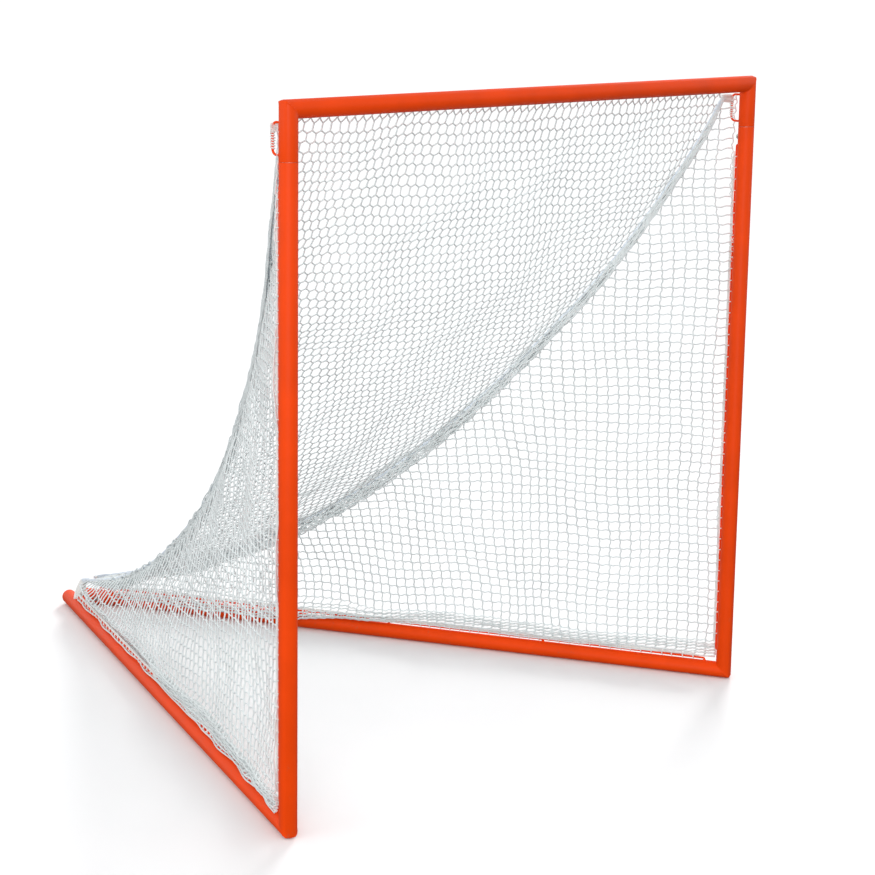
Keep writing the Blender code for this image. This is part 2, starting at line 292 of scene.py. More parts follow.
def resampled(path, step):
    """Points an even step apart along a path."""
    lengths = [0.0]
    for one, other in zip(path, path[1:]):
        lengths.append(lengths[-1] + (other - one).length)
    count = max(2, round(lengths[-1] / step))
    points, i = [], 0
    for k in range(count + 1):
        reach = lengths[-1] * k / count
        while i < len(path) - 2 and lengths[i + 1] < reach:
            i += 1
        share = (reach - lengths[i]) / max(lengths[i + 1] - lengths[i], 1e-9)
        points.append(path[i].lerp(path[i + 1], share))
    return points


def shaken(point, size, reach, seed=0.0):
    """A point moved a little, the same way each time: size is the wave length."""
    return point + noise.noise_vector(point / size + Vector((seed, seed * 1.7, -seed))) * reach


# ---------------------------------------------------------------------------------------------
# Making pieces
# ---------------------------------------------------------------------------------------------


def nothing_selected():
    if bpy.context.object and bpy.context.object.mode != "OBJECT":
        bpy.ops.object.mode_set(mode="OBJECT")
    bpy.ops.object.select_all(action="DESELECT")


def only(obj):
    nothing_selected()
    obj.select_set(True)
    bpy.context.view_layer.objects.active = obj
    return obj


def settle(obj):
    """Puts a piece's place, turn and scale in its mesh."""
    only(obj)
    bpy.ops.object.transform_apply(location=True, rotation=True, scale=True)
    return obj


def hardened(obj, **modifiers):
    """Adds modifiers in order and applies each: wall=("SOLIDIFY", {...})."""
    only(obj)
    for name, (kind, settings) in modifiers.items():
        added = obj.modifiers.new(name, kind)
        for key, value in settings.items():
            setattr(added, key, value)
        bpy.ops.object.modifier_apply(modifier=added.name)
    return obj


def handed_over(obj, name, finish, nodes=(), angle=40):
    """Names a finished piece, gives it its material and hangs it on the frame."""
    obj.name = obj.data.name = name
    only(obj)
    if angle:
        bpy.ops.object.shade_smooth_by_angle(angle=math.radians(angle))
    obj.data.materials.clear()
    obj.data.materials.append(finish)
    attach(obj, "root")
    if nodes:
        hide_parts(*nodes)
    return obj


def cords(name, paths, radius, sides=6, closed=False, capped=True, radii=None):
    """Round cords along paths, made as one bevelled curve and turned into a mesh."""
    curve = bpy.data.curves.new(name, "CURVE")
    curve.dimensions = "3D"
    curve.bevel_depth = radius
    curve.bevel_resolution = (sides - 4) // 2
    curve.use_fill_caps = capped
    for k, path in enumerate(paths):
        spline = curve.splines.new("POLY")
        spline.points.add(len(path) - 1)
        spline.points.foreach_set("co", [x for p in path for x in (*at(p), 1)])
        if radii:
            spline.points.foreach_set("radius", radii[k])
        spline.use_cyclic_u = closed
        spline.use_smooth = True
    obj = bpy.data.objects.new(name, curve)
    bpy.context.collection.objects.link(obj)
    only(obj)
    bpy.ops.object.convert(target="MESH")
    return bpy.context.object


def joined(objects):
    """Several objects as one."""
    nothing_selected()
    for obj in objects:
        obj.select_set(True)
    bpy.context.view_layer.objects.active = objects[0]
    bpy.ops.object.join()
    return bpy.context.object


# ---------------------------------------------------------------------------------------------
# Materials
# ---------------------------------------------------------------------------------------------


def add_node(tree, kind, inputs=None, **settings):
    """Adds a node with its settings, and fills or links its inputs."""
    node = tree.nodes.new(kind)
    for key, value in settings.items():
        setattr(node, key, value)
    for key, value in (inputs or {}).items():
        if isinstance(value, bpy.types.NodeSocket):
            tree.links.new(value, node.inputs[key])
        else:
            node.inputs[key].default_value = value
    return node


def blank(name):
    """A new material: its node tree and its Principled shader."""
    material = bpy.data.materials.new(name)
    material.use_nodes = True
    tree = material.node_tree
    return material, tree, tree.nodes["Principled BSDF"]


def ramp(tree, value, low, high, first, last):
    """value from low to high as a number from first to last."""
    inputs = {"Value": value, 1: low, 2: high, 3: first, 4: last}
    return add_node(tree, "ShaderNodeMapRange", inputs).outputs[0]


def mixed(tree, share, one, other):
    inputs = {0: share, 6: one, 7: other}
    return add_node(tree, "ShaderNodeMix", inputs, data_type="RGBA").outputs[2]


def scaled(colour, share):
    return (*(min(1, part * share) for part in colour), 1)


def powder_coat():
    """Polyester powder coat baked on steel: semi-gloss, with a fine orange peel that breaks up the
    highlight, and dust and scuffs near the ground."""
    material, tree, shader = blank("powder_coated_steel")
    place = add_node(tree, "ShaderNodeTexCoord").outputs["Object"]
    cloud = add_node(
        tree, "ShaderNodeTexNoise", {"Vector": place, "Scale": 9.0, "Detail": 4.0}
    ).outputs[0]
    peel = add_node(
        tree, "ShaderNodeTexNoise", {"Vector": place, "Scale": 330.0, "Detail": 2.0}
    ).outputs[0]
    scratch = add_node(
        tree, "ShaderNodeTexNoise",
        {"Vector": place, "Scale": 46.0, "Detail": 8.0, "Roughness": 0.75},
    ).outputs[0]
    level = add_node(tree, "ShaderNodeSeparateXYZ", {0: place}).outputs["Z"]
    paint = tuple(colours().paint)
    body = mixed(
        tree, ramp(tree, cloud, 0.3, 0.7, 0.0, 1.0), scaled(paint, 0.93), scaled(paint, 1.05)
    )
    low = ramp(tree, level, 0.02, 0.35, 1.0, 0.0)
    scuffed = ramp(tree, scratch, 0.60, 0.72, 0.0, 0.55)
    worn = add_node(tree, "ShaderNodeMath", {0: scuffed, 1: low}, operation="MULTIPLY").outputs[0]
    shader.inputs["Roughness"].default_value = 0.4
    tree.links.new(mixed(tree, worn, body, (*linear("A8694F"), 1)), shader.inputs["Base Color"])
    tree.links.new(ramp(tree, cloud, 0.25, 0.75, 0.42, 0.54), shader.inputs["Roughness"])
    # Orange peel is 1 to 2 mm wide; 3 mm is the finest that shows
    bump = add_node(
        tree, "ShaderNodeBump", {"Strength": 0.16, "Distance": 0.0006, "Height": peel}
    )
    tree.links.new(bump.outputs[0], shader.inputs["Normal"])
    shader.inputs["IOR"].default_value = 1.5
    shader.inputs["Specular IOR Level"].default_value = 0.16
    return material


def zinc_plate():
    """Zinc electroplated on steel: a satin grey metal, slightly blotchy."""
    material, tree, shader = blank("zinc_plated_steel")
    place = add_node(tree, "ShaderNodeTexCoord").outputs["Object"]
    blotch = add_node(
        tree, "ShaderNodeTexNoise", {"Vector": place, "Scale": 240.0, "Detail": 3.0}
    ).outputs[0]
    tree.links.new(
        mixed(tree, blotch, (*linear("A9A8A2"), 1), (*linear("D2D1CC"), 1)),
        shader.inputs["Base Color"],
    )
    tree.links.new(ramp(tree, blotch, 0.2, 0.8, 0.28, 0.48), shader.inputs["Roughness"])
    shader.inputs["Metallic"].default_value = 1.0
    return material


def braid(name, colour, scale):
    """Polyester cord: strands a millimetre wide, soft and matt, with a faint sheen of loose fibre."""
    material, tree, shader = blank(name)
    place = add_node(tree, "ShaderNodeTexCoord").outputs["Object"]
    strand = add_node(
        tree, "ShaderNodeTexVoronoi", {"Vector": place, "Scale": scale, "Randomness": 0.7}
    ).outputs[0]
    shade = add_node(
        tree, "ShaderNodeTexNoise", {"Vector": place, "Scale": 6.0, "Detail": 3.0}
    ).outputs[0]
    clean = mixed(
        tree, ramp(tree, shade, 0.3, 0.7, 0.0, 1.0), scaled(colour, 0.92), scaled(colour, 1.06)
    )
    # Painted shade: the cord's colour is darkened in the grooves between its strands, where shade falls
    painted_groove_shade = ramp(tree, strand, 0.25, 0.75, 0.0, 0.3)
    tree.links.new(mixed(tree, painted_groove_shade, clean, scaled(colour, 0.75)), shader.inputs["Base Color"])
    bump = add_node(
        tree, "ShaderNodeBump", {"Strength": 0.5, "Distance": 0.0008, "Height": strand}
    )
    bump.invert = True
    tree.links.new(bump.outputs[0], shader.inputs["Normal"])
    shader.inputs["Roughness"].default_value = 0.85
    shader.inputs["Sheen Weight"].default_value = 0.15
    shader.inputs["Sheen Roughness"].default_value = 0.5
    shader.inputs["IOR"].default_value = 1.5
    return material


def moulded_plastic():
    """Black polyethylene, injection moulded: soft highlights over a fine spark-eroded grain."""
    material, tree, shader = blank("moulded_polyethylene")
    place = add_node(tree, "ShaderNodeTexCoord").outputs["Object"]
    grain = add_node(
        tree, "ShaderNodeTexNoise", {"Vector": place, "Scale": 900.0, "Detail": 2.0}
    ).outputs[0]
    tree.links.new(
        mixed(tree, grain, (*linear("17181A"), 1), (*linear("2A2B2D"), 1)),
        shader.inputs["Base Color"],
    )
    tree.links.new(ramp(tree, grain, 0.3, 0.7, 0.42, 0.62), shader.inputs["Roughness"])
    bump = add_node(
        tree, "ShaderNodeBump", {"Strength": 0.3, "Distance": 0.0003, "Height": grain}
    )
    tree.links.new(bump.outputs[0], shader.inputs["Normal"])
    shader.inputs["IOR"].default_value = 1.5
    return material


FINISHES = {}


def finish(name):
    """Each material is made once, when it is first asked for."""
    makers = {
        "paint": powder_coat,
        "zinc": zinc_plate,
        "twine": lambda: braid("knotless_polyester_twine", tuple(colours().twine), 700.0),
        "rope": lambda: braid("twisted_polyester_rope", tuple(colours().rope), 520.0),
        "lace": lambda: braid("braided_lacing_cord", tuple(colours().lace), 800.0),
        "plug": moulded_plastic,
    }
    if name not in FINISHES:
        FINISHES[name] = makers[name]()
    return FINISHES[name]


# ---------------------------------------------------------------------------------------------
# Frame
# ---------------------------------------------------------------------------------------------


KEPT_TIP = 0.027  # how far a mitre reaches out from its corner before the rounding starts
ROUNDED = 0.7  # share of the rest that is taken off


def rounded_tip(place, middle_of_corner, out):
    """A place on a mitred corner, drawn in where the corner's outer tip is dressed round."""
    reach = (place - middle_of_corner).dot(out)
    return place - out * max(0, reach - KEPT_TIP) * ROUNDED


def frame_tube(name, start, end, cuts, tips, nodes):
    """A round tube between two points, cut by planes whose normals point out of it. Each tip is the
    middle of a corner and the direction in which its mitre reaches out."""
    axis = end - start
    nothing_selected()
    bpy.ops.mesh.primitive_cylinder_add(
        vertices=sizes().tube_facets,
        radius=TUBE_R,
        depth=axis.length + 4 * TUBE_R,
        end_fill_type="NOTHING",
        location=at((start + end) / 2),
        rotation=axis.to_track_quat("Z", "Y").to_euler(),
    )
    tube = settle(bpy.context.object)
    bpy.ops.object.mode_set(mode="EDIT")
    for point, normal in cuts:
        bpy.ops.mesh.select_all(action="SELECT")
        bpy.ops.mesh.bisect(plane_co=at(point), plane_no=normal, clear_outer=True)
    for point, out in tips:
        for reach in (KEPT_TIP, KEPT_TIP + 0.0035):
            bpy.ops.mesh.select_all(action="SELECT")
            bpy.ops.mesh.bisect(plane_co=at(point + out * reach), plane_no=out)
    bpy.ops.object.mode_set(mode="OBJECT")
    for point, out in tips:
        for vert in tube.data.vertices:
            vert.co = rounded_tip(vert.co, at(point), out)
    hardened(
        tube,
        wall=("SOLIDIFY", {"thickness": WALL, "offset": -1}),
        edge=(
            "BEVEL",
            {"width": 0.0008, "segments": 3, "limit_method": "ANGLE", "angle_limit": math.radians(40)},
        ),
    )
    return handed_over(tube, name, finish("paint"), nodes)


def weld_bead(name, point, one, other, proud=0.0007, radius=0.0024):
    """A rippled bead round the mitre where two tubes meet, leaving a point along one and other."""
    across = one.cross(other).normalized()
    tall = (one + other).normalized()
    half = one.angle(other) / 2
    count = 72
    ring = TUBE_R + proud - radius
    path, thick = [], []
    for i in range(count):
        angle = math.tau * i / count
        reach = tall * ring * math.sin(angle) / math.sin(half)
        place = point + across * ring * math.cos(angle) + reach
        path.append(rounded_tip(place, point + tall * (radius - proud), -tall))
        thick.append(1.0 - 0.10 * (i % 3 == 0) + 0.05 * math.sin(5 * angle))
    bead = cords(name, [path], radius, sides=10, closed=True, radii=[thick])
    return handed_over(bead, name, finish("paint"))


def standing_off_rod(name, start, end, away, reach, bend, node):
    """A lacing rod whose two ends turn in to its tube, each in a small fillet weld."""
    run, foot = away * reach, away * (TUBE_R - SUNK)
    path = [start + foot]
    path += arc_corner(start + foot, start + run, end + run, bend)
    path += arc_corner(start + run, end + run, end + foot, bend)
    path.append(end + foot)
    rod = cords(name, [path], ROD_R, sides=20)
    blobs = [fillet(place + away * TUBE_R, away, ROD_R) for place in (start, end)]
    return handed_over(joined([rod, *blobs]), name, finish("paint"), [node])


def fillet(point, away, radius):
    """A small ring of weld where a round bar meets a tube."""
    nothing_selected()
    bpy.ops.mesh.primitive_cone_add(
        vertices=20, radius1=radius * 2.1, radius2=radius * 0.98, depth=radius * 1.5,
        location=at(point + away * radius * 0.35), rotation=away.to_track_quat("Z", "Y").to_euler(),
    )
    ring = settle(bpy.context.object)
    hardened(
        ring,
        soft=("BEVEL", {"width": radius * 0.5, "segments": 3, "limit_method": "ANGLE"}),
    )
    for vert in ring.data.vertices:
        vert.co = shaken(vert.co, 0.004, 0.0004)
    return ring


class GOAL_OT_tubes(Operator):
    """Crossbar, its two legs, the posts and the base rails, as smooth mitred tubes"""

    bl_idname = "goal.tubes"
    bl_label = "Frame tubes"

    def execute(self, context):
        tops = {side: Vector((side * POST_X, 0, TOP_Z)) for side in SIDES}
        head = {side: (tops[side], Vector((side, 0, 1)).normalized()) for side in SIDES}
        slopes = [(tops[side], Vector((side, 0, -1)).normalized()) for side in SIDES]
        ends = tops[-1], tops[1]
        frame_tube("crossbar_tube", *ends, slopes, list(head.values()), ["crossbar"])
        for side, name in SIDES.items():
            top, foot, heading = tops[side], corner(side), along_rail(side)
            seam = Vector((side * POST_X, 0, SEAM_Z))
            slope = Vector((-side, 0, 1)).normalized()
            cuts = [(top, slope), (seam + UP * 0.0006, -UP)]
            node = f"corner_leg_{name}"
            frame_tube(f"corner_leg_tube_{name}", seam, top, cuts, [head[side]], [node])
            into = (heading - UP).normalized()
            tip = (foot, -(heading + UP).normalized())
            cuts = [(foot, into), (seam - UP * 0.0002, UP)]
            frame_tube(f"post_tube_{name}", foot, seam, cuts, [tip], [f"post_{name}"])
            rail_end = foot + heading * RAIL_LONG
            cuts = [(foot, -into), (rail_end, heading)]
            node = f"base_rail_{name}"
            frame_tube(f"base_rail_tube_{name}", foot, rail_end, cuts, [tip], [node])
        return {"FINISHED"}


class GOAL_OT_welds(Operator):
    """The beads round the mitred corners"""

    bl_idname = "goal.welds"
    bl_label = "Corner welds"

    def execute(self, context):
        for side, name in SIDES.items():
            top = Vector((side * POST_X, 0, TOP_Z))
            weld_bead(f"top_weld_{name}", top, Vector((-side, 0, 0)), -UP)
            weld_bead(f"foot_weld_{name}", corner(side), UP, along_rail(side))
        return {"FINISHED"}


class GOAL_OT_rods(Operator):
    """The rods that the net is laced to, their stand-off pegs and the corner loops"""

    bl_idname = "goal.rods"
    bl_label = "Lacing rods"

    def execute(self, context):
        low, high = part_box("crossbar_rod")
        left = Vector((low.x + ROD_R, 0, TOP_Z))
        right = Vector((high.x - ROD_R, 0, TOP_Z))
        standing_off_rod("crossbar_lacing_rod", left, right, BACK, ROD_OFF, ROD_BEND, "crossbar_rod")
        self.pegs("crossbar_peg_{}", "crossbar_stand_off_{}", left, right, BACK, 3)
        for side, name in SIDES.items():
            centre = Vector((side * POST_X, 0, 0))
            low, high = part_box(f"corner_loop_{name}")
            top, bottom = centre + UP * (high.z - ROD_R), centre + UP * (low.z + ROD_R)
            reach = high.y - GOAL_LINE - ROD_R
            standing_off_rod(
                f"corner_loop_rod_{name}", top, bottom, BACK, reach, LOOP_BEND, f"corner_loop_{name}"
            )
            low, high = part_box(f"post_rod_{name}")
            top, bottom = centre + UP * (high.z - ROD_R), centre + UP * (low.z + ROD_R)
            standing_off_rod(
                f"post_lacing_rod_{name}", top, bottom, BACK, ROD_OFF, ROD_BEND, f"post_rod_{name}"
            )
            self.pegs(f"post_peg_{name}_{{}}", f"post_stand_off_{name}_{{}}", top, bottom, BACK, 2)
            front = corner(side) + along_rail(side) * RAIL_ROD_FRONT
            rear = corner(side) + along_rail(side) * (RAIL_LONG - RAIL_ROD_REAR)
            standing_off_rod(
                f"base_lacing_rod_{name}", front, rear, UP, ROD_OFF, ROD_BEND, f"base_rod_{name}"
            )
            self.pegs(f"base_peg_{name}_{{}}", f"base_stand_off_{name}_{{}}", front, rear, UP, 3)
        return {"FINISHED"}

    def pegs(self, node, name, start, end, away, count):
        """Short welded pegs that hold the middle of a rod off its tube."""
        for i in range(count):
            point = start.lerp(end, (i + 1) / (count + 1))
            route = [point + away * (TUBE_R - SUNK), point + away * ROD_OFF]
            shank = cords("peg", [route], PEG_R, 16)
            weld = fillet(point + away * TUBE_R, away, PEG_R)
            tip = fillet(point + away * (ROD_OFF - ROD_R), -away, PEG_R)
            handed_over(
                joined([shank, weld, tip]), name.format(i + 1), finish("paint"),
                [node.format(i + 1)],
            )


class GOAL_OT_fasteners(Operator):
    """Bolts, washers, the strap in the point of the base, the sleeves and the rail plugs"""

    bl_idname = "goal.fasteners"
    bl_label = "Fasteners and strap"

    def execute(self, context):
        edges = {"limit_method": "ANGLE", "angle_limit": math.radians(25), "segments": 2}
        for name in SIDES.values():
            for where in ("corner", "rear"):
                self.finished(f"{where}_bolt_{name}", "head", "zinc", "zinc", {**edges, "width": 0.0003})
                self.finished(f"{where}_washer_{name}", "rim", "zinc", "zinc", {**edges, "width": 0.0003})
                self.finished(f"{where}_nut_{name}", "weld", "zinc", "zinc", {**edges, "width": 0.0003})
            self.finished(f"rail_plug_{name}", "cap", "plug", "plug", {**edges, "width": 0.0012})
            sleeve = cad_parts[f"post_sleeve_{name}"]
            sleeve.data.materials.clear()
            sleeve.data.materials.append(finish("zinc"))
        self.finished("rear_strap", "plate", "painted_tube", "paint", {**edges, "width": 0.0012})
        return {"FINISHED"}

    def finished(self, node, word, slot, look, bevel):
        """A copy of a frame piece with its seams closed and its edges rounded."""
        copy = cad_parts[node].copy()
        copy.data = copy.data.copy()
        for key in list(copy.keys()):
            del copy[key]
        copy.parent = None
        bpy.context.collection.objects.link(copy)
        only(copy)
        bpy.ops.object.mode_set(mode="EDIT")
        bpy.ops.mesh.select_all(action="SELECT")
        bpy.ops.mesh.remove_doubles(threshold=0.00002)
        bpy.ops.mesh.dissolve_limited(angle_limit=math.radians(3))
        bpy.ops.object.mode_set(mode="OBJECT")
        hardened(copy, rounded=("BEVEL", bevel))
        handed_over(copy, f"{node}_{word}", finish(look), [node])


# ---------------------------------------------------------------------------------------------
# Net
# ---------------------------------------------------------------------------------------------


def back_surface(u, v):
    """Net behind the mouth: u across from left to right, v down from the crossbar."""
    head = Vector((POST_X - NET_HEAD[0], NET_EDGE, TOP_Z - NET_HEAD[1]))
    edge = through((head,) + RIDGE[1:], v * NET_POINT)
    half = edge.x - NET_OFF_ROPE
    place = 2 * u - 1
    sag = BACK_SAG * half * (1 - place**2) * math.sin(math.pi / 2 * min(1, v / BACK_SAG_FULL))
    return Vector((place * half, edge.y, edge.z - sag))


def ridge_share(depth):
    """Where along the ridge it lies this far behind the goal line."""
    low, high = 0.0, 1.0
    for _ in range(24):
        centre = (low + high) / 2
        if ridge(1, centre).y < depth:
            low = centre
        else:
            high = centre
    return low


class SidePanel:
    """A side net's surface: places by depth behind the goal line and height above its foot."""

    def __init__(self, side):
        self.side = side
        self.kept = {}

    def line(self, depth):
        """The foot and the head of the net at a depth."""
        key = round(depth, 5)
        if key not in self.kept:
            on_rail = POST_X * (1 - depth / DEPTH)
            shift = POST_X * NET_EDGE / DEPTH * math.exp(-(depth - NET_EDGE) / NET_TURN)
            foot = Vector((self.side * (on_rail + shift), depth, RAIL_Z + ROD_OFF))
            head = ridge(self.side, ridge_share(depth))
            if depth < head.y:
                post = Vector((self.side * POST_X, LACE_OFF, head.z + 0.006))
                head = post.lerp(head, (depth - LACE_OFF) / (head.y - LACE_OFF))
            self.kept[key] = (foot, head)
        return self.kept[key]

    def tall(self, depth):
        foot, head = self.line(depth)
        return head.z - foot.z

    def point(self, depth, rise):
        foot, head = self.line(depth)
        share = rise / max(head.z - foot.z, 1e-4)
        run = (depth - NET_EDGE) / (NET_REACH - NET_EDGE)
        swell = math.sin(math.pi / 2 * min(1, run / SIDE_BELLY_FULL))
        belly = SIDE_BELLY * math.sin(math.pi * min(1, share)) * swell
        return foot.lerp(head, share) + outward(self.side) * belly


class GOAL_OT_back_net(Operator):
    """The net behind the mouth: rows of hexagonal meshes hung from the crossbar"""

    bl_idname = "goal.back_net"
    bl_label = "Back net"

    STEPS = 2  # pieces of twine in each leg of a mesh
    LIFT = 0.13  # how far a row swings up and down, as a share of a mesh

    def execute(self, context):
        cell, pitch = sizes().cell_wide, sizes().cell_tall
        lift = self.LIFT * cell
        self.measure()
        rows = int(self.lengths[-1] / pitch)
        paths, self.flat_area = [], 0.0
        for j in range(rows + 1):
            down = j * pitch
            half = self.half(down)
            self.flat_area += 2 * half * pitch
            count = int(half / (cell / 2)) * self.STEPS
            row = []
            for k in range(-count - 2, count + 3):
                place = k / self.STEPS
                across = max(-half, min(half, place * cell / 2))
                wave = lift * math.cos(math.pi * (place + j))
                row.append(self.hung(across, down + wave * (j > 0)))
            paths.append(row)
            if j == rows:
                break
            for m in range(-count, count + 1):
                if (m + j) % 2 == 0 and abs(m * cell / 2) < half - 0.004:
                    if abs(m * cell / 2) < self.half(down + pitch) + 0.004:
                        across = m * cell / 2
                        start = self.hung(across, down + lift * 0.96 * (j > 0))
                        end = self.hung(across, down + pitch - lift * 0.96)
                        paths.append([start, end])
        net = cords("net_back_twine", paths, sizes().twine / 2, 6, capped=False)
        handed_over(net, "net_back_twine", finish("twine"), ["net_back"], angle=0)
        only(net)
        bpy.ops.object.shade_smooth()
        return {"FINISHED"}

    def measure(self):
        """How far down the net each share of its surface lies."""
        self.shares = [i / 400 for i in range(401)]
        self.lengths = [0.0]
        last = back_surface(1, 0)
        for share in self.shares[1:]:
            here = back_surface(1, share)
            self.lengths.append(self.lengths[-1] + math.hypot(here.y - last.y, here.z - last.z))
            last = here

    def share(self, down):
        down = max(0.0, min(down, self.lengths[-1]))
        low, high = 0, 400
        while high - low > 1:
            centre = (low + high) // 2
            if self.lengths[centre] <= down:
                low = centre
            else:
                high = centre
        span = self.lengths[high] - self.lengths[low]
        return (low + (down - self.lengths[low]) / max(span, 1e-9)) / 400

    def half(self, down):
        """Half the panel's width, out to the middle of the ridge rope."""
        return back_surface(1, self.share(down)).x + NET_OFF_ROPE

    def hung(self, across, down):
        """A place on the net, with the unevenness of a hung net."""
        share = self.share(down)
        half = back_surface(1, share).x + NET_OFF_ROPE
        point = back_surface((across / half + 1) / 2, share)
        free = min(1.0, down / 0.05) * min(1.0, (half - abs(across)) / 0.05)
        if down < 0.03:
            top = Vector((point.x, LACE_OFF, TOP_Z - 0.003))
            point = top.lerp(point, down / 0.03)
        point = shaken(point, 0.23, 0.016 * free)
        return shaken(point, 0.05, 0.0035 * free, seed=3.1)


class GOAL_OT_side_nets(Operator):
    """The two side nets: square meshes, standing on the base rails with their feet bunched up"""

    bl_idname = "goal.side_nets"
    bl_label = "Side nets"

    STEPS = 3
    BUNCHED = 10  # rows folded together above the rail
    BUNCH_PITCH = 0.0048
    DROOP_FROM = 1.0  # how far back the slack foot of the net starts to hang over its rail
    DROOP_FULL = 1.35
    DROOP = (0.028, 0.045)  # how far in and down
    SWAY = 0.0018  # how far an upright twine swings sideways between two rows
    SLANT = 0.0022  # how far a row swings up and down between two upright twines

    def execute(self, context):
        for side, name in SIDES.items():
            self.panel(side, name)
        return {"FINISHED"}

    def rise(self, row):
        """Height above the foot of a row, whole or part."""
        if row <= self.BUNCHED:
            return row * self.BUNCH_PITCH
        return self.BUNCHED * self.BUNCH_PITCH + (row - self.BUNCHED) * sizes().cell_tall

    def panel(self, side, name):
        wide, tall_cell, panel = sizes().cell_wide, sizes().cell_tall, SidePanel(side)
        pace = wide * math.cos(HALF_ANGLE)
        first, last = LACE_OFF, 1.965
        columns = int((last - first) / pace)
        top = panel.tall(first)
        rows = 0
        while self.rise(rows + 1) < top:
            rows += 1
        paths, flat_area = [], 0.0
        for i in range(columns + 1):
            depth = first + i * pace
            tall, column = panel.tall(depth), []
            reach = self.BUNCHED + (tall - self.rise(self.BUNCHED)) / tall_cell
            flat_area += max(reach, 1) * wide * tall_cell
            for k in range(int(reach * self.STEPS) + 1):
                column.append(self.hung(panel, i, k / self.STEPS, pace))
            column.append(panel.point(depth, tall))
            if len(column) > 2:
                paths.append(column)
        for j in range(rows + 1):
            line, rise = [], self.rise(j)
            for k in range(columns * self.STEPS + 1):
                i = k / self.STEPS
                if panel.tall(first + i * pace) < rise:
                    break
                line.append(self.hung(panel, i, j, pace))
            if len(line) > 2:
                paths.append(line)
        net = cords(f"net_{name}_twine", paths, sizes().twine / 2, 6, capped=False)
        handed_over(net, f"net_{name}_twine", finish("twine"), [f"net_{name}"], angle=0)
        only(net)
        bpy.ops.object.shade_smooth()
        wide, long = columns * wide, (rows + 1) * tall_cell

    def hung(self, panel, column, row, pace):
        """A place on the net at a column and a row, whole or part: the twines cross at whole ones."""
        side_step = self.SWAY * math.sin(math.tau * row) * (column == round(column))
        lift = self.SLANT * math.sin(math.tau * column) * (row == round(row))
        depth = LACE_OFF + column * pace + side_step
        tall, rise = panel.tall(depth), self.rise(row)
        bunched = max(0.0, min(1.0, self.BUNCHED + 1 - row))
        free = max(0.0, min(1.0, (tall - rise) / 0.06)) * min(1.0, rise / 0.03 + 0.05)
        point = panel.point(depth, min(rise + lift * free, tall))
        loose = noise.noise(Vector((depth * 9, row, panel.side)))
        sideways = (math.cos(math.pi * row) * 0.008 + 0.012 * loose) * bunched
        slack = (depth - self.DROOP_FROM) / (self.DROOP_FULL - self.DROOP_FROM)
        slack = max(0.0, min(1.0, slack)) * math.sin(math.pi * min(1.0, row / self.BUNCHED))
        sideways = sideways * (1 - 0.6 * slack) - (self.DROOP[0] + 0.012) * slack
        point += outward(panel.side) * sideways - UP * self.DROOP[1] * slack
        point = shaken(point, 0.25, 0.016 * free)
        return shaken(point, 0.05, 0.0035 * free, seed=1.3)


class GOAL_OT_ridge_ropes(Operator):
    """The ropes along the two ridges, laid in three strands, and the net edges gathered on them"""

    bl_idname = "goal.ridge_ropes"
    bl_label = "Ridge ropes"

    LAY = 0.045  # length of one turn of a strand
    GATHERED = 22  # twines bunched along the rope
    BAND_TOP = 0.012  # how far the bunched twines hang below the rope, at its top and near its foot
    BAND_FOOT = 0.036

    def execute(self, context):
        for side, name in SIDES.items():
            route = resampled([ridge(side, i / 240) for i in range(241)], 0.004)
            strands = []
            for k in range(3):
                strands.append(self.wound(route, 0.0029, self.LAY, math.tau * k / 3))
            rope = cords(f"ridge_rope_laid_{name}", strands, 0.0032, 8)
            whipping = [self.whipped(route[:14]), self.whipped(route[-14:])]
            bound = cords("whipping", whipping, 0.0011, 6)
            handed_over(
                joined([rope, bound]), f"ridge_rope_laid_{name}", finish("rope"),
                [f"ridge_rope_{name}"], angle=0,
            )
            bpy.ops.object.shade_smooth()
            twines = self.gathered(side, resampled(route, 0.014))
            bunch = cords(f"ridge_gather_{name}", twines, sizes().twine / 2 * 0.9, 6)
            handed_over(bunch, f"ridge_gather_{name}", finish("twine"), angle=0)
            bpy.ops.object.shade_smooth()
        return {"FINISHED"}

    def axes(self, route, i):
        tangent = (route[min(i + 1, len(route) - 1)] - route[max(i - 1, 0)]).normalized()
        across = tangent.cross(UP).normalized()
        return across, across.cross(tangent)

    def wound(self, route, radius, lay, start):
        """A helix round a route."""
        path, gone = [], 0.0
        for i, point in enumerate(route):
            across, over = self.axes(route, i)
            angle = start + math.tau * gone / lay
            path.append(point + (across * math.cos(angle) + over * math.sin(angle)) * radius)
            gone += 0.004
        return path

    def whipped(self, stretch):
        """A tight coil of thin twine that stops a rope's end from opening."""
        path, turns, per = [], 12, 10
        for k in range(turns * per + 1):
            share = k / (turns * per)
            i = min(int(share * (len(stretch) - 1)), len(stretch) - 2)
            centre = stretch[i].lerp(stretch[i + 1], share * (len(stretch) - 1) - i)
            across, over = self.axes(stretch, i)
            angle = math.tau * k / per
            path.append(centre + (across * math.cos(angle) + over * math.sin(angle)) * 0.0069)
        return path

    def gathered(self, side, route):
        """The two nets' edges, folded together under the rope, in a band that widens downwards."""
        paths = []
        for k in range(self.GATHERED):
            path, place = [], k / (self.GATHERED - 1)
            for i, point in enumerate(route):
                share = i / (len(route) - 1)
                fade = min(1, (1 - share) * 8, share * 20 + 0.3)
                deep = (self.BAND_TOP + (self.BAND_FOOT - self.BAND_TOP) * min(1, share * 1.4)) * fade
                across, over = self.axes(route, i)
                swing = noise.noise(Vector((share * 70, k * 3.7, side)))
                sway = noise.noise(Vector((share * 52, k * 5.1 + 9, side)))
                down = deep * max(-0.15, min(1.1, place + swing * 0.55))
                out_by = (0.0075 + 0.003 * sway) * (-1 if k % 2 else 1)
                path.append(point - over * down + across * out_by * fade)
            paths.append(path)
        return paths


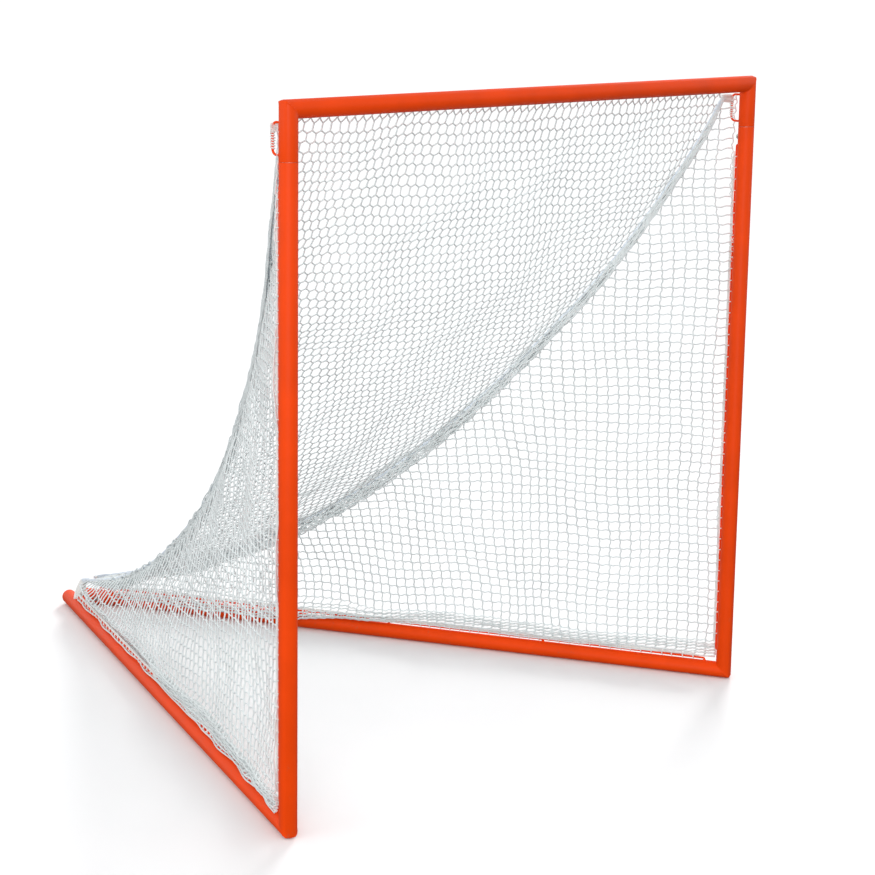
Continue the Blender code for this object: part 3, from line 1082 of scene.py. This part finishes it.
class GOAL_OT_laces(Operator):
    """The net's border cord along each rod, and the lacing wound round both"""

    bl_idname = "goal.laces"
    bl_label = "Lacing"

    WRAP_SHARE = 0.38  # share of each pitch in which the cord goes once round

    def execute(self, context):
        low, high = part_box("crossbar_lace")
        self.laced(
            "crossbar", "crossbar_lace", Vector((low.x, 0, TOP_Z)), Vector((high.x, 0, TOP_Z)), BACK
        )
        for side, name in SIDES.items():
            low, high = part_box(f"post_lace_{name}")
            centre = Vector((side * POST_X, 0, 0))
            self.laced(
                f"post_{name}", f"post_lace_{name}", centre + UP * high.z, centre + UP * low.z, BACK
            )
            front = corner(side) + along_rail(side) * (RAIL_ROD_FRONT + LACE_SHORT)
            rear_at = RAIL_LONG - RAIL_ROD_REAR - LACE_SHORT
            rear = corner(side) + along_rail(side) * rear_at
            self.laced(f"base_{name}", f"base_lace_{name}", front, rear, UP)
            self.loop_wraps(side, name)
            self.ties(side, name)
        return {"FINISHED"}

    def loop_wraps(self, side, name):
        """Cord bound round the upright part of a corner loop."""
        low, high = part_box(f"corner_loop_{name}")
        inset = ROD_R + LOOP_BEND
        top, bottom = high.z - inset, low.z + inset
        axis = Vector((side * POST_X, high.y - GOAL_LINE - ROD_R, 0))
        path, turns, around = [], 8, 14
        for k in range(turns * around + 1):
            share = k / (turns * around)
            wide = ROD_R + sizes().lace * (0.45 + 0.5 * abs(noise.noise(Vector((share * 9, side, 0)))))
            angle = math.tau * k / around
            drift = UP * (top + (bottom - top) * share)
            path.append(axis + drift + Vector((math.cos(angle), math.sin(angle), 0)) * wide)
        cord = cords(f"loop_binding_{name}", [path], sizes().lace / 2, 8)
        handed_over(cord, f"loop_binding_{name}", finish("lace"), angle=0)
        bpy.ops.object.shade_smooth()

    def ties(self, side, name):
        """The knots that hold the rope: to the corner loop above and to the base rod below."""
        low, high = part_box(f"corner_loop_{name}")
        loop = Vector((side * POST_X, high.y - GOAL_LINE - ROD_R, high.z - ROD_R - LOOP_BEND))
        rod_end = corner(side) + along_rail(side) * (RAIL_LONG - RAIL_ROD_REAR - 2 * LACE_SHORT)
        rod_end += UP * ROD_OFF
        bundles = [
            self.lashing(ridge(side, 0.005), loop, -UP, 5),
            self.lashing(ridge(side, 0.995), rod_end, BACK, 6),
        ]
        cord = cords(f"rope_ties_{name}", bundles, sizes().lace / 2, 8)
        handed_over(cord, f"rope_ties_{name}", finish("lace"), angle=0)
        bpy.ops.object.shade_smooth()

    def lashing(self, one, other, heading, turns):
        """Turns of cord round two things side by side, moving along a heading."""
        span = other - one
        reach = span.length / 2 + ROD_R + sizes().lace
        toward = span.normalized()
        drift = (heading - toward * heading.dot(toward)).normalized()
        across = toward.cross(drift)
        path, around = [], 20
        for k in range(turns * around + 1):
            angle = math.tau * k / around
            slip = drift * sizes().lace * (1.25 * (k / around - turns / 2))
            offset = toward * reach * math.cos(angle) + across * (ROD_R + sizes().lace) * math.sin(angle)
            path.append(shaken((one + other) / 2 + slip + offset, 0.02, 0.001))
        return path

    def laced(self, where, node, start, end, away):
        """start and end lie on the tube's centre line."""
        part, _, hand = where.partition("_")
        ending = f"_{hand}" if hand else ""
        long = (end - start).length
        heading = (end - start) / long
        across = heading.cross(away)
        thin = sizes().lace / 2
        border = []
        for k in range(int(long / 0.01) + 1):
            point = start + heading * min(k * 0.01, long) + away * LACE_OFF
            border.append(shaken(point, 0.03, 0.0012))
        cord = cords(f"{part}_border_cord{ending}", [border], 0.0024, 8)
        handed_over(cord, f"{part}_border_cord{ending}", finish("lace"), [node], angle=0)
        bpy.ops.object.shade_smooth()
        middle_off = (ROD_OFF - ROD_R + LACE_OFF + 0.0024) / 2
        half_away = (LACE_OFF + 0.0024 - ROD_OFF + ROD_R) / 2 + thin * 0.9
        half_across = ROD_R + thin * 0.9
        pitch = sizes().lace_pitch
        turns = int(long / pitch)
        per = 18
        path = []
        for k in range(turns * per + 1):
            turn, share = divmod(k / per, 1)
            swept = min(1, share / self.WRAP_SHARE)
            loose = noise.noise(Vector((turn * 1.7, start.x, away.z))) * 0.3
            along = (turn + 0.5 + loose * 0.5) * pitch
            if share > self.WRAP_SHARE:
                after = noise.noise(Vector(((turn + 1) * 1.7, start.x, away.z))) * 0.3
                gone = (share - self.WRAP_SHARE) / (1 - self.WRAP_SHARE)
                along += gone * (1 + (after - loose) * 0.5) * pitch - 0.12 * pitch * gone
            else:
                along += (swept - 0.5) * 0.12 * pitch - 0.06 * pitch
            along = max(0.002, min(long - 0.002, along))
            angle = math.tau * (turn + swept)
            place = start + heading * along + away * (middle_off + half_away * math.cos(angle))
            path.append(place + across * half_across * math.sin(angle))
        lace = cords(f"{part}_lacing{ending}", [resampled(path, 0.0028)], thin, 8)
        handed_over(lace, f"{part}_lacing{ending}", finish("lace"), angle=0)
        bpy.ops.object.shade_smooth()


# ---------------------------------------------------------------------------------------------
# Stage
# ---------------------------------------------------------------------------------------------


class GOAL_OT_stage(Operator):
    """Floor, soft studio light and camera"""

    bl_idname = "goal.stage"
    bl_label = "Stage"

    KEY = 3.0  # watts a square metre
    SOFT = 16  # degrees across
    FILL = 230  # watts

    def execute(self, context):
        nothing_selected()
        bpy.ops.mesh.primitive_plane_add(size=160)
        floor = bpy.context.object
        floor.name = "studio_floor"
        floor.data.materials.append(self.paper())
        floor.visible_diffuse = False
        floor.visible_glossy = False
        self.sky()
        # A wide soft key from behind the goal, and a low fill beside the camera
        self.lamp("SUN", "rear_key", Vector((8.5, 5.3, 4.4)), self.KEY)
        self.lamp("AREA", "front_fill", Vector((-5.9, -6.1, 1.9)), self.FILL)
        self.lamp("AREA", "left_fill", Vector((-7.5, 1.5, 3.2)), self.FILL * 0.3)
        self.camera()
        context.scene.view_settings.view_transform = "Standard"
        return {"FINISHED"}

    def paper(self):
        """Seamless background paper: matt and nearly white."""
        material, tree, shader = blank("background_paper")
        place = add_node(tree, "ShaderNodeTexCoord").outputs["Object"]
        fibre = add_node(
            tree, "ShaderNodeTexNoise", {"Vector": place, "Scale": 4.0, "Detail": 3.0}
        ).outputs[0]
        colour = tuple(colours().floor)
        tree.links.new(
            mixed(tree, fibre, scaled(colour, 0.985), scaled(colour, 1.0)),
            shader.inputs["Base Color"],
        )
        shader.inputs["Roughness"].default_value = 0.95
        shader.inputs["Specular IOR Level"].default_value = 0.1
        return material

    def sky(self):
        """Even white light from above the horizon, dim from below it."""
        world = bpy.data.worlds.new("studio")
        bpy.context.scene.world = world
        world.use_nodes = True
        tree = world.node_tree
        toward = add_node(tree, "ShaderNodeTexCoord").outputs["Generated"]
        level = add_node(tree, "ShaderNodeSeparateXYZ", {0: toward}).outputs["Z"]
        above = ramp(tree, level, -0.16, -0.02, 0.0, 1.0)
        high = ramp(tree, level, 0.18, 0.40, 0.0, 1.0)
        white = mixed(tree, high, (1.1, 1.1, 1.1, 1), (0.80, 0.81, 0.82, 1))
        shade = mixed(tree, above, (0.20, 0.20, 0.21, 1), white)
        background = tree.nodes["Background"]
        tree.links.new(shade, background.inputs["Color"])
        background.inputs["Strength"].default_value = 1.0

    def lamp(self, kind, name, place, energy):
        """A light that looks at the middle of the goal."""
        nothing_selected()
        bpy.ops.object.light_add(type=kind, location=place)
        light = bpy.context.object
        light.name = name
        light.data.energy = energy
        if kind == "SUN":
            light.data.angle = math.radians(self.SOFT)
            light.visible_glossy = False
        else:
            light.data.size = 4.0
        aim = Vector((0, 0, 0.8)) - place
        light.rotation_euler = aim.to_track_quat("-Z", "Y").to_euler()

    def camera(self):
        """Set low in front of the goal's left side."""
        azimuth, dip, roll = (math.radians(a) for a in (46.98, -12.1, 0.84))
        forward = Vector(
            (math.sin(azimuth) * math.cos(dip), math.cos(azimuth) * math.cos(dip), math.sin(dip))
        )
        nothing_selected()
        bpy.ops.object.camera_add(location=(-4.7248, -4.0376 + GOAL_LINE, 2.2374))
        camera = bpy.context.object
        turn = forward.to_track_quat("-Z", "Y").to_matrix()
        camera.rotation_euler = (turn @ Matrix.Rotation(roll, 3, "Z")).to_euler()
        camera.data.lens = 94.0
        camera.data.clip_end = 200
        bpy.context.scene.camera = camera


OPERATORS = (
    GOAL_OT_stage,
    GOAL_OT_tubes,
    GOAL_OT_welds,
    GOAL_OT_rods,
    GOAL_OT_fasteners,
    GOAL_OT_back_net,
    GOAL_OT_side_nets,
    GOAL_OT_ridge_ropes,
    GOAL_OT_laces,
)


class GOAL_PT_builder(Panel):
    """Lists the steps that build the goal"""

    bl_idname = "GOAL_PT_builder"
    bl_label = "Lacrosse goal"
    bl_space_type = "VIEW_3D"
    bl_region_type = "UI"
    bl_category = "Lacrosse goal"

    def draw(self, context):
        for group in (context.scene.goal_sizes, context.scene.goal_colours):
            for key in group.bl_rna.properties.keys():
                if key not in ("rna_type", "name"):
                    self.layout.prop(group, key)
        for kind in OPERATORS:
            self.layout.operator(kind.bl_idname)


CLASSES = (GoalSizes, GoalColours, *OPERATORS, GOAL_PT_builder)


def register():
    for kind in CLASSES:
        bpy.utils.register_class(kind)
    bpy.types.Scene.goal_sizes = PointerProperty(type=GoalSizes)
    bpy.types.Scene.goal_colours = PointerProperty(type=GoalColours)


def unregister():
    del bpy.types.Scene.goal_colours
    del bpy.types.Scene.goal_sizes
    for kind in reversed(CLASSES):
        bpy.utils.unregister_class(kind)


def main():
    register()
    bpy.ops.goal.stage()
    bpy.ops.goal.tubes()
    bpy.ops.goal.welds()
    bpy.ops.goal.rods()
    bpy.ops.goal.fasteners()
    bpy.ops.goal.back_net()
    bpy.ops.goal.side_nets()
    bpy.ops.goal.ridge_ropes()
    bpy.ops.goal.laces()


if __name__ == "__main__":
    main()
